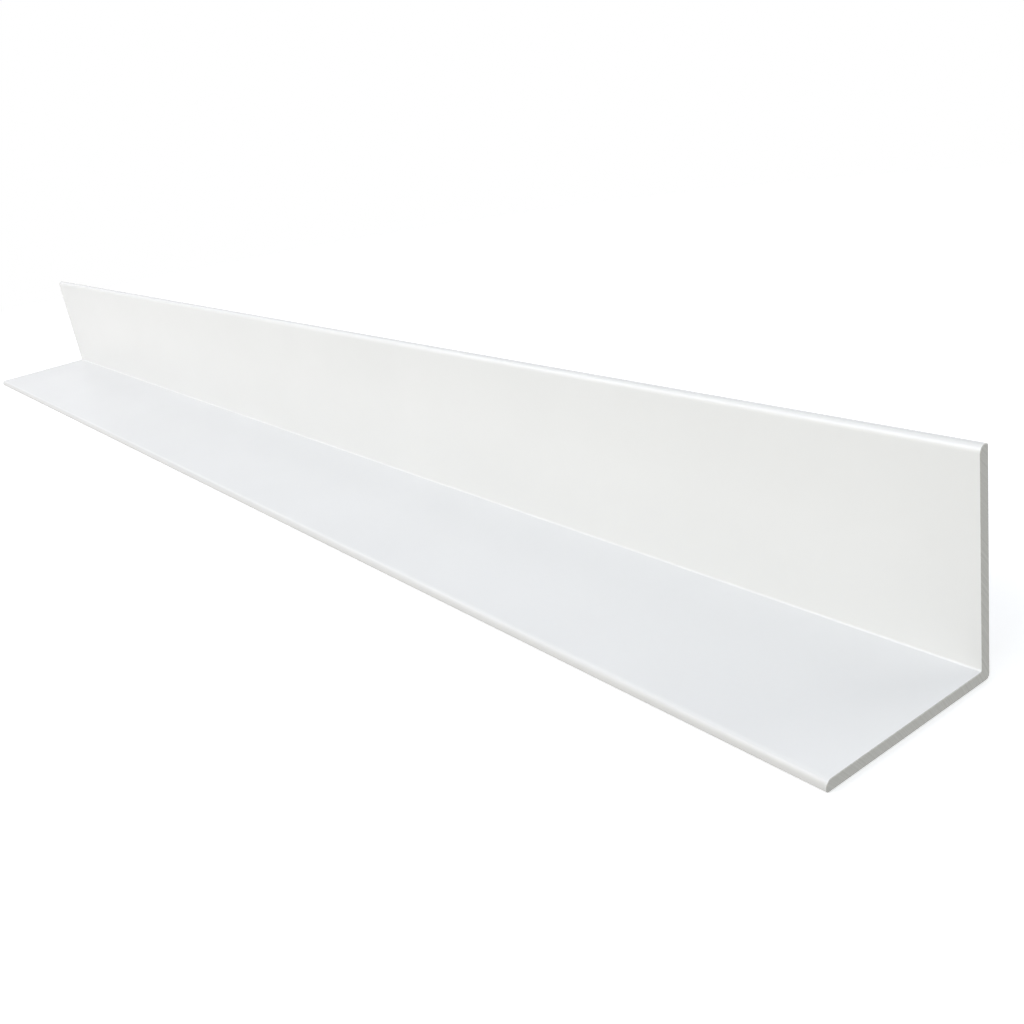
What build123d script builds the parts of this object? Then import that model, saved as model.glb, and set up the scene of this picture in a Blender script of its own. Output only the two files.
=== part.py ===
from build123d import *
import os

# An equal-leg metal angle: one extruded length of L section, sawn square at both ends.
# The base leg lies on the floor, and the upright leg stands along its back edge.
# +X runs along the bar, +Y points out of the back of the upright leg, and +Z is up.
# The origin is on the floor, in the middle of the bar's footprint. Sizes are in millimetres.

# The section
LEG = 100.0  # outside width of each leg, from the heel to the toe
WALL = 5.0  # thickness of both legs
HEEL_RADIUS = 2.5  # outside corner, where the two legs meet
ROOT_RADIUS = 1.0  # fillet in the inside corner
TOE_RADIUS = 3.25  # large round on each toe's inside edge
TOE_BACK_RADIUS = 1.2  # smaller round on each toe's outside edge

# The sawn length
LENGTH = 1200.0
SAW_EDGE_BREAK = 0.3  # edges of the sawn ends, taken off with a file

BACK = LEG / 2  # outside face of the upright leg
FRONT = -LEG / 2  # toe of the base leg


def section():
    """The L section across the bar, in the YZ plane, with every corner rounded."""
    heel = (BACK, 0)
    upright_toe_back = (BACK, LEG)
    upright_toe = (BACK - WALL, LEG)
    root = (BACK - WALL, WALL)
    base_toe = (FRONT, WALL)
    base_toe_back = (FRONT, 0)
    roundings = {
        heel: HEEL_RADIUS,
        upright_toe_back: TOE_BACK_RADIUS,
        upright_toe: TOE_RADIUS,
        root: ROOT_RADIUS,
        base_toe: TOE_RADIUS,
        base_toe_back: TOE_BACK_RADIUS,
    }
    with BuildSketch(Plane.YZ) as profile:
        with BuildLine():
            Polyline(*roundings, close=True)
        make_face()
        for (across, up), radius in roundings.items():
            corner = profile.vertices().sort_by_distance((across, up))[0]
            fillet(corner, radius)
    return profile.sketch


def angle_section():
    """The whole bar: the section extruded both ways from the middle, with its sawn edges broken."""
    with BuildPart() as bar:
        extrude(section(), amount=LENGTH / 2, both=True)
        sawn_ends = bar.faces().filter_by(Plane.YZ)
        chamfer(sawn_ends.edges(), SAW_EDGE_BREAK)
    return bar.part


PIECES = {"angle_section": angle_section()}

os.makedirs("parts", exist_ok=True)
for name, piece in PIECES.items():
    export_step(piece, f"parts/{name}.step")
    print(name, "volume", round(piece.volume), "mm3, size", piece.bounding_box().size)
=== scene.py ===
import math

import bmesh
import bpy
from mathutils import Matrix, Vector


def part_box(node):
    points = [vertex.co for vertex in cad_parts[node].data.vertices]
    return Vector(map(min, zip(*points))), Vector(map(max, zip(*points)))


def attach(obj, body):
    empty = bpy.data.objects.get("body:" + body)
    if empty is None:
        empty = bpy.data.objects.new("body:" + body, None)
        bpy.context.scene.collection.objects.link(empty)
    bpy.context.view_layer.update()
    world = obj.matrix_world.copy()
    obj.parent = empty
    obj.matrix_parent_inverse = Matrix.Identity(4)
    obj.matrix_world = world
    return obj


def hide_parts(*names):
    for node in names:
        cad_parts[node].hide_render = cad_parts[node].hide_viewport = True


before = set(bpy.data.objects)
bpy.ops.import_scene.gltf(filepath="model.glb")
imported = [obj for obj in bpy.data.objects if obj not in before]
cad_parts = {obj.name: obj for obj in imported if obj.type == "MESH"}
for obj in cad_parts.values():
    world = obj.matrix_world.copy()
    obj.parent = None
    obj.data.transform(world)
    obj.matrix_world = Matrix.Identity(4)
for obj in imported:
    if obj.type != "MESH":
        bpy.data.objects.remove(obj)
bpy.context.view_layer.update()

# The bar is one aluminium extrusion. The die's L-shaped opening gives both legs, the fillet at the
# root, the round heel and the soft toes in one pass, and the long bar is then sawn to length.
low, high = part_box("angle_section")
wall = 0.005
root_radius = 0.001
heel_radius = 0.0025
toe_radius = 0.00325
toe_back_radius = 0.0012
filed_edge = 0.0003
filed_facets = 3
inside_y = high.y - wall
inside_z = low.z + wall
section_roundings = [
    # corner of the section (y, z), radius, facets in its quarter circle
    ((inside_y, inside_z), root_radius, 12),
    ((high.y, low.z), heel_radius, 18),
    ((low.y, inside_z), toe_radius, 18),
    ((low.y, low.z), toe_back_radius, 10),
    ((inside_y, high.z), toe_radius, 18),
    ((high.y, high.z), toe_back_radius, 10),
]
near = 1e-5
round_profile = 0.5
coplanar_within = math.radians(1)
smooth_below = math.radians(35)
largest_faces_first = 100


def pick(mode, wanted):
    """In edit mode, selects just the vertices, edges or faces whose middle passes the test."""
    bpy.ops.mesh.select_mode(type=mode)
    bpy.ops.mesh.select_all(action="DESELECT")
    mesh = bmesh.from_edit_mesh(bpy.context.object.data)
    parts = {"VERT": mesh.verts, "EDGE": mesh.edges, "FACE": mesh.faces}[mode]
    for part in parts:
        corners = [part.co] if mode == "VERT" else [v.co for v in part.verts]
        part.select_set(wanted(sum(corners, Vector()) / len(corners)))
    mesh.select_flush_mode()
    bmesh.update_edit_mesh(bpy.context.object.data)


bpy.ops.object.select_all(action="DESELECT")
bpy.ops.mesh.primitive_plane_add(
    size=1,
    location=(low.x, (low.y + high.y) / 2, low.z + wall / 2),
    rotation=(0, math.pi / 2, 0),
)
bar = bpy.context.object
bar.name = "angle_bar"
bar.scale = (wall, high.y - low.y, 1)
bpy.ops.object.transform_apply(location=True, rotation=True, scale=True)

bpy.ops.object.mode_set(mode="EDIT")
bpy.ops.mesh.select_all(action="SELECT")
bpy.ops.mesh.bisect(plane_co=(0, inside_y, 0), plane_no=(0, 1, 0))
pick("EDGE", lambda p: p.y > inside_y + near and p.z > inside_z - near)
bpy.ops.mesh.extrude_region_move(TRANSFORM_OT_translate={"value": (0, 0, high.z - inside_z)})
bpy.ops.mesh.select_all(action="SELECT")
bpy.ops.mesh.dissolve_limited(angle_limit=coplanar_within)
for (corner_y, corner_z), radius, facets in section_roundings:
    corner = Vector((low.x, corner_y, corner_z))
    pick("VERT", lambda p: (p - corner).length < near)
    bpy.ops.mesh.bevel(offset=radius, segments=facets, profile=round_profile, affect="VERTICES")

# The saw leaves each end square and flat. Its sharp outline is taken off with a file.
bpy.ops.mesh.select_all(action="SELECT")
bpy.ops.mesh.extrude_region_move(TRANSFORM_OT_translate={"value": (high.x - low.x, 0, 0)})
bpy.ops.mesh.select_all(action="SELECT")
bpy.ops.mesh.normals_make_consistent(inside=False)
pick("EDGE", lambda p: abs(p.x) > high.x - near)
bpy.ops.mesh.bevel(offset=filed_edge, segments=filed_facets, profile=round_profile, affect="EDGES")
pick("FACE", lambda p: abs(p.x) > high.x - filed_edge)
bar.data.materials.append(bpy.data.materials.new("white_powder_coat"))
bar.data.materials.append(bpy.data.materials.new("sawn_aluminium"))
bar.active_material_index = 1
bpy.ops.object.material_slot_assign()
bpy.ops.object.mode_set(mode="OBJECT")
bpy.ops.object.shade_smooth_by_angle(angle=smooth_below)
bpy.ops.object.modifier_add(type="WEIGHTED_NORMAL")
even_shading = bar.modifiers[-1]
even_shading.keep_sharp = True
even_shading.weight = largest_faces_first
bpy.ops.object.modifier_apply(modifier=even_shading.name)


def shader(owner, kind, **inputs):
    """A new shader node in the material or world, with the sockets that are named given these values."""
    made = owner.node_tree.nodes.new("ShaderNode" + kind)
    for socket, value in inputs.items():
        made.inputs[socket.replace("_", " ")].default_value = value
    return made


def join(owner, start, end):
    """Links an output socket to an input socket of the material or world."""
    owner.node_tree.links.new(start, end)


def larger(owner, first, second):
    """The output that gives the larger of two values."""
    maximum = shader(owner, "Math")
    maximum.operation = "MAXIMUM"
    join(owner, first, maximum.inputs[0])
    join(owner, second, maximum.inputs[1])
    return maximum.outputs[0]


def length(owner, vector):
    """The output that gives the length of a vector."""
    measure = shader(owner, "VectorMath")
    measure.operation = "LENGTH"
    join(owner, vector, measure.inputs[0])
    return measure.outputs["Value"]


def either(owner, share, first, second):
    """The output of two surfaces mixed: only the first at a share of 0, only the second at 1."""
    mix = shader(owner, "MixShader")
    join(owner, share, mix.inputs[0])
    join(owner, first, mix.inputs[1])
    join(owner, second, mix.inputs[2])
    return mix.outputs[0]


def multiplied(owner, colour):
    """A node that multiplies a colour by its input B, as far as its input Factor says."""
    product = shader(owner, "Mix")
    product.data_type = "RGBA"
    product.blend_type = "MULTIPLY"
    join(owner, colour, product.inputs["A"])
    return product


def tones(owner, noise, dark, light):
    """The output of a ramp that turns a noise into colours from the dark one to the light one."""
    ramp = shader(owner, "ValToRGB")
    darkest, lightest = ramp.color_ramp.elements
    darkest.position = 0.3
    darkest.color = dark
    lightest.position = 0.7
    lightest.color = light
    join(owner, noise, ramp.inputs["Fac"])
    return ramp.outputs["Color"]


# White polyester powder, baked on to every face before the bar was sawn. It has a soft gloss, a
# very fine orange peel, and the die's faint drawn lines show through it along the bar.
coat_dark = (0.868, 0.870, 0.866, 1)
coat_light = (0.886, 0.888, 0.884, 1)
coat = bar.data.materials[0]
coat.use_nodes = True
coat_surface = coat.node_tree.nodes["Principled BSDF"]
coat_surface.inputs["Roughness"].default_value = 0.27
coat_surface.inputs["IOR"].default_value = 1.55
coat_place = shader(coat, "TexCoord").outputs["Object"]

orange_peel = shader(coat, "TexNoise", Scale=520.0, Detail=2.0, Roughness=0.45)
join(coat, coat_place, orange_peel.inputs["Vector"])
peel_relief = shader(coat, "Bump", Strength=0.6, Distance=0.00004)
join(coat, orange_peel.outputs["Fac"], peel_relief.inputs["Height"])

along_bar = shader(coat, "Mapping", Scale=(0.8, 260.0, 260.0))
join(coat, coat_place, along_bar.inputs["Vector"])
drawn_lines = shader(coat, "TexNoise", Scale=1.0, Detail=3.0, Roughness=0.6)
join(coat, along_bar.outputs["Vector"], drawn_lines.inputs["Vector"])
line_relief = shader(coat, "Bump", Strength=0.2, Distance=0.00003)
join(coat, drawn_lines.outputs["Fac"], line_relief.inputs["Height"])
join(coat, peel_relief.outputs["Normal"], line_relief.inputs["Normal"])
join(coat, line_relief.outputs["Normal"], coat_surface.inputs["Normal"])

film_build = shader(coat, "TexNoise", Scale=9.0, Detail=3.0, Roughness=0.55)
join(coat, coat_place, film_build.inputs["Vector"])
coat_tone = tones(coat, film_build.outputs["Fac"], coat_dark, coat_light)

# Painted shade on the toes: the coat colour is darkened to a greyer tone in a narrow line along the
# top of the upright leg, and all round the toe of the base leg, where those faces take less light.
top_line = 0.0004
top_line_full = 0.00005
top_line_share = 0.9
toe_depth = 0.0019
toe_depth_full = 0.0009
toe_shade_grey = (0.855, 0.850, 0.845, 1)
toe_place = shader(coat, "SeparateXYZ")
join(coat, coat_place, toe_place.inputs[0])
upright_toe = shader(coat, "MapRange", To_Max=top_line_share)
upright_toe.inputs["From Min"].default_value = high.z - top_line
upright_toe.inputs["From Max"].default_value = high.z - top_line_full
join(coat, toe_place.outputs["Z"], upright_toe.inputs["Value"])
base_toe = shader(coat, "MapRange", From_Min=low.y + toe_depth, From_Max=low.y + toe_depth_full)
join(coat, toe_place.outputs["Y"], base_toe.inputs["Value"])
toe_shade_mask = larger(coat, upright_toe.outputs["Result"], base_toe.outputs["Result"])
# The coat colour is multiplied towards the grey here: this is painted shade.
toe_shaded_tone = multiplied(coat, coat_tone)
toe_shaded_tone.inputs["B"].default_value = toe_shade_grey
join(coat, toe_shade_mask, toe_shaded_tone.inputs["Factor"])

# Painted shade in the inside corner: the faces are darkened a little the nearer they are to the
# root, where shade falls.
corner_reach = 0.055
corner_shade_grey = (0.940, 0.942, 0.945, 1)
across_bar = shader(coat, "Mapping", Location=(0.0, -inside_y, -inside_z), Scale=(0.0, 1.0, 1.0))
join(coat, coat_place, across_bar.inputs["Vector"])
root_distance = length(coat, across_bar.outputs["Vector"])
corner_shade_falloff = shader(coat, "MapRange", From_Min=0.0, From_Max=corner_reach)
corner_shade_falloff.interpolation_type = "SMOOTHSTEP"
join(coat, root_distance, corner_shade_falloff.inputs["Value"])
corner_shade = shader(coat, "ValToRGB")
corner_shade.color_ramp.elements[0].color = corner_shade_grey
corner_shade.color_ramp.elements[1].color = (1, 1, 1, 1)
join(coat, corner_shade_falloff.outputs["Result"], corner_shade.inputs["Fac"])
# The corner darkening is multiplied into the coat colour here: this is painted shade.
corner_shaded_tone = multiplied(coat, toe_shaded_tone.outputs["Result"])
corner_shaded_tone.inputs["Factor"].default_value = 1.0
join(coat, corner_shade.outputs["Color"], corner_shaded_tone.inputs["B"])
join(coat, corner_shaded_tone.outputs["Result"], coat_surface.inputs["Base Color"])

# The sawn ends are bare aluminium, dulled by handling. The blade has left fine marks across them,
# curved about its own centre, and the filed outline is bare too.
sawn_dark = (0.376, 0.378, 0.359, 1)
sawn_light = (0.464, 0.466, 0.446, 1)
blade_below = 0.11
blade_before = 0.16
sawn = bar.data.materials[1]
sawn.use_nodes = True
sawn_surface = sawn.node_tree.nodes["Principled BSDF"]
sawn_surface.inputs["Metallic"].default_value = 1.0
sawn_surface.inputs["Roughness"].default_value = 0.48
sawn_place = shader(sawn, "TexCoord").outputs["Object"]
blade_centre = shader(sawn, "Mapping", Location=(0.0, blade_before, blade_below), Scale=(0.0, 1.0, 1.0))
join(sawn, sawn_place, blade_centre.inputs["Vector"])
blade_reach = length(sawn, blade_centre.outputs["Vector"])
blade_marks = shader(sawn, "TexNoise", Scale=1100.0, Detail=3.0, Roughness=0.65)
blade_marks.noise_dimensions = "1D"
join(sawn, blade_reach, blade_marks.inputs["W"])
mark_relief = shader(sawn, "Bump", Strength=0.5, Distance=0.00003)
join(sawn, blade_marks.outputs["Fac"], mark_relief.inputs["Height"])
join(sawn, mark_relief.outputs["Normal"], sawn_surface.inputs["Normal"])
sawn_grain = shader(sawn, "TexNoise", Scale=1600.0, Detail=3.0, Roughness=0.6)
join(sawn, sawn_place, sawn_grain.inputs["Vector"])
sawn_wear = shader(sawn, "Mix", Factor=0.35)
join(sawn, blade_marks.outputs["Fac"], sawn_wear.inputs["A"])
join(sawn, sawn_grain.outputs["Fac"], sawn_wear.inputs["B"])
sawn_tone = tones(sawn, sawn_wear.outputs["Result"], sawn_dark, sawn_light)
join(sawn, sawn_tone, sawn_surface.inputs["Base Color"])

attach(bar, "root")
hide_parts("angle_section")

# The floor is a plain white studio sweep. It shows white to the camera and in reflections, and it
# keeps the bar's soft shadow.
floor_size = 14.0
floor_drop = 0.0001
shadow_reach = 0.75
sweep_reach = 1.3
bpy.ops.object.select_all(action="DESELECT")
bpy.ops.mesh.primitive_plane_add(size=floor_size, location=(0, 0, low.z - floor_drop))
floor = bpy.context.object
floor.name = "studio_floor"
bpy.ops.object.transform_apply(location=True, rotation=True, scale=True)
sweep = bpy.data.materials.new("studio_sweep")
floor.data.materials.append(sweep)
sweep.use_nodes = True
sweep.node_tree.nodes.clear()
sweep_rays = shader(sweep, "LightPath").outputs
sweep_mirrored = larger(sweep, sweep_rays["Is Glossy Ray"], sweep_rays["Is Transmission Ray"])
sweep_looked_at = larger(sweep, sweep_rays["Is Camera Ray"], sweep_mirrored)
sweep_bounce = shader(sweep, "BsdfDiffuse", Color=(0.52, 0.52, 0.52, 1))
sweep_near = shader(sweep, "BsdfDiffuse", Color=(0.95, 0.95, 0.95, 1))
sweep_lift = shader(sweep, "Emission", Color=(1, 1, 1, 1), Strength=0.32)
sweep_lifted = shader(sweep, "AddShader")
join(sweep, sweep_near.outputs[0], sweep_lifted.inputs[0])
join(sweep, sweep_lift.outputs[0], sweep_lifted.inputs[1])
sweep_far = shader(sweep, "Emission", Color=(1, 1, 1, 1), Strength=1.0)
sweep_distance = length(sweep, shader(sweep, "TexCoord").outputs["Object"])
sweep_fade = shader(sweep, "MapRange", From_Min=shadow_reach, From_Max=sweep_reach)
join(sweep, sweep_distance, sweep_fade.inputs["Value"])
plain_white = larger(sweep, sweep_fade.outputs["Result"], sweep_mirrored)
sweep_shown = either(sweep, plain_white, sweep_lifted.outputs[0], sweep_far.outputs[0])
sweep_mix = either(sweep, sweep_looked_at, sweep_bounce.outputs[0], sweep_shown)
sweep_out = shader(sweep, "OutputMaterial")
join(sweep, sweep_mix, sweep_out.inputs["Surface"])

# The studio is a white tent: even light from all round, white where the camera or a reflection looks
# at it. The main softboxes stand to the left and in front, smaller ones above the bar and close to
# its near end, and three stand behind it.
studio = bpy.data.worlds.new("studio_tent")
bpy.context.scene.world = studio
studio.use_nodes = True
studio.node_tree.nodes.clear()
tent_rays = shader(studio, "LightPath").outputs
tent_mirrored = larger(studio, tent_rays["Is Glossy Ray"], tent_rays["Is Transmission Ray"])
tent_looked_at = larger(studio, tent_rays["Is Camera Ray"], tent_mirrored)
tent_light = shader(studio, "Background", Color=(0.98, 1.0, 1.03, 1), Strength=0.33)
tent_white = shader(studio, "Background", Color=(1, 1, 1, 1), Strength=1.0)
tent_mix = either(studio, tent_looked_at, tent_light.outputs[0], tent_white.outputs[0])
tent_out = shader(studio, "OutputWorld")
join(studio, tent_mix, tent_out.inputs["Surface"])


def softbox(name, place, aim, width, height, power, colour):
    """A rectangular area light at place, turned to face aim, that the camera doesn't see."""
    turn = (Vector(aim) - Vector(place)).to_track_quat("-Z", "Y")
    bpy.ops.object.light_add(type="AREA", location=place, rotation=turn.to_euler())
    lamp = bpy.context.object
    lamp.name = name
    lamp.data.shape = "RECTANGLE"
    lamp.data.size = width
    lamp.data.size_y = height
    lamp.data.energy = power
    lamp.data.color = colour
    lamp.visible_camera = False
    return lamp


bar_middle = (0, 0, 0.05)
white = (1.0, 1.0, 1.0)
rose = (1.04, 1.0, 1.07)
green = (0.97, 1.0, 0.97)
warm = (1.18, 1.0, 0.51)
cool = (0.95, 1.0, 1.18)
blue = (0.82, 1.0, 1.27)
# Each has its place, what it faces, its width and height in metres, its power in watts and its tint.
softbox("left_softbox", (-2.7, -2.3, 2.4), bar_middle, 3.4, 1.5, 35.2, rose)
softbox("front_softbox", (0.5, -1.8, 1.6), (0.3, 0, 0.05), 3.6, 1.0, 23.9, green)
softbox("low_softbox", (0, -2.6, 0.35), (0, 0, 0.1), 4.0, 0.5, 7.6, warm)
softbox("strip_softbox", (-0.7, -1.25, 2.0), (0.2, 0, 0.05), 1.4, 0.5, 7.9, cool)
softbox("near_end_softbox", (0.75, -0.25, 1.5), (0.5, 0, 0), 0.7, 0.6, 1.2, blue)
softbox("high_back_softbox", (-0.2, 1.3, 2.2), bar_middle, 3.0, 1.0, 7.0, white)
softbox("back_softbox", (0.8, 2.6, 0.8), bar_middle, 2.4, 0.9, 26.0, white)
softbox("low_back_softbox", (-0.1, 2.2, 0.3), (0, 0, 0.06), 3.6, 0.5, 5.0, white)

# The camera looks along the bar from just past its right-hand end, tipped a little so that the
# near end stands upright in the frame.
camera_place = (0.8275, -0.3101, 0.2560)
camera_azimuth = math.radians(56.80)
camera_below_level = math.radians(21.34)
camera_tip = math.radians(-9.74)
bpy.ops.object.camera_add()
camera = bpy.context.object
camera.name = "camera"
camera.data.sensor_width = 36.0
camera.data.lens = 40.0
camera.data.clip_start = 0.01
camera.matrix_world = (
    Matrix.Translation(camera_place)
    @ Matrix.Rotation(camera_azimuth, 4, "Z")
    @ Matrix.Rotation(math.pi / 2 - camera_below_level, 4, "X")
    @ Matrix.Rotation(camera_tip, 4, "Z")
)
bpy.context.scene.camera = camera
bpy.context.scene.view_settings.view_transform = "Standard"

bpy.context.view_layer.update()
